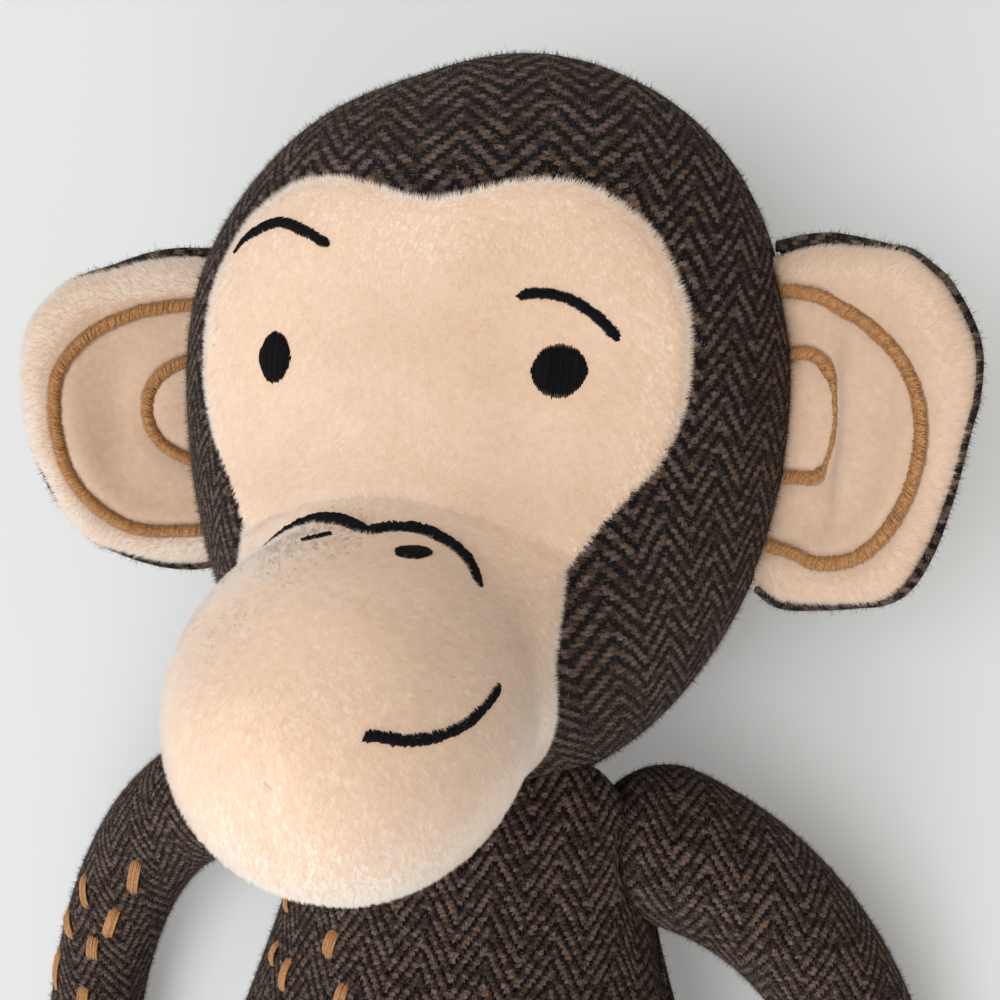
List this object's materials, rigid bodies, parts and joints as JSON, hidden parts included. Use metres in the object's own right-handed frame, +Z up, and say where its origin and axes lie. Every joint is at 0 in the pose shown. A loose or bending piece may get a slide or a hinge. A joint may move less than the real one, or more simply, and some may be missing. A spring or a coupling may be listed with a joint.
{
  "type": "monkey plush pillow",
  "caption": "Stuffed monkey pillow lying on its back: woven tweed head, torso and limbs, peach plush face, muzzle, ears, hands and feet, thread features, soft joints.",
  "frame": {"origin": "on the floor, under the middle of the toy's length and width", "axes": "+X to the toy's left, +Y from feet to crown, +Z up out of its face; it lies on its back on Z = 0"},
  "size_m": [0.288, 0.5376, 0.1818],
  "materials": {
    "tweed": "dark brown herringbone tweed, slightly fuzzy",
    "plush": "peach short-pile plush",
    "satin_thread": "golden brown satin stitch",
    "black_thread": "black embroidery thread",
    "fibre": "loose white polyester fibre"
  },
  "bodies": {
    "torso": {"torso_front_panel": "tweed", "torso_back_panel": "tweed", "torso_stuffing": "fibre"},
    "neck": {"neck_roll": "tweed"},
    "head": {"head_front_panel": "tweed", "head_back_panel": "tweed", "face_panel": "plush", "muzzle_panel": "plush", "head_stuffing": "fibre", "left_eye": "black_thread", "right_eye": "black_thread", "left_brow": "black_thread", "right_brow": "black_thread", "left_nostril": "black_thread", "right_nostril": "black_thread", "nose_line": "black_thread", "smile": "black_thread"},
    "left_ear": {"left_ear_front": "plush", "left_ear_back": "tweed", "left_ear_outer_loop": "satin_thread", "left_ear_inner_loop": "satin_thread"},
    "right_ear": {"right_ear_front": "plush", "right_ear_back": "tweed", "right_ear_outer_loop": "satin_thread", "right_ear_inner_loop": "satin_thread"},
    "left_arm": {"left_arm_cover": "tweed", "left_hand": "plush", "left_arm_stuffing": "fibre"},
    "right_arm": {"right_arm_cover": "tweed", "right_hand": "plush", "right_arm_stuffing": "fibre"},
    "left_leg": {"left_leg_cover": "tweed", "left_foot": "plush", "left_leg_stuffing": "fibre"},
    "right_leg": {"right_leg_cover": "tweed", "right_foot": "plush", "right_leg_stuffing": "fibre"}
  },
  "joints": [
    {"name": "neck_turn", "type": "hinge", "parent": "torso", "child": "neck", "pos_m": [0, 0.07491, 0.04639], "axis": [0, 1, 0], "range_deg": [-28, 28], "stiffness_Nm_per_rad": 0.6},
    {"name": "neck_nod", "type": "hinge", "parent": "neck", "child": "head", "pos_m": [0, 0.07491, 0.04639], "axis": [1, 0, 0], "range_deg": [-20, 8], "stiffness_Nm_per_rad": 1.2},
    {"name": "left_ear_fold", "type": "hinge", "parent": "head", "child": "left_ear", "pos_m": [0.09216, 0.18296, 0.06736], "axis": [0, -0.9877, -0.1564], "range_deg": [-25, 45], "stiffness_Nm_per_rad": 0.03},
    {"name": "right_ear_fold", "type": "hinge", "parent": "head", "child": "right_ear", "pos_m": [-0.09216, 0.17703, 0.06642], "axis": [0, 0.9877, 0.1564], "range_deg": [-25, 45], "stiffness_Nm_per_rad": 0.03},
    {"name": "left_shoulder", "type": "hinge", "parent": "torso", "child": "left_arm", "pos_m": [0.056, 0.06291, 0.042], "axis": [-1, 0, 0], "range_deg": [0, 120]},
    {"name": "right_shoulder", "type": "hinge", "parent": "torso", "child": "right_arm", "pos_m": [-0.056, 0.06291, 0.042], "axis": [-1, 0, 0], "range_deg": [0, 120]},
    {"name": "left_hip", "type": "hinge", "parent": "torso", "child": "left_leg", "pos_m": [0.042, -0.12209, 0.024], "axis": [-1, 0, 0], "range_deg": [0, 90]},
    {"name": "right_hip", "type": "hinge", "parent": "torso", "child": "right_leg", "pos_m": [-0.042, -0.12209, 0.024], "axis": [-1, 0, 0], "range_deg": [0, 90]}
  ]
}
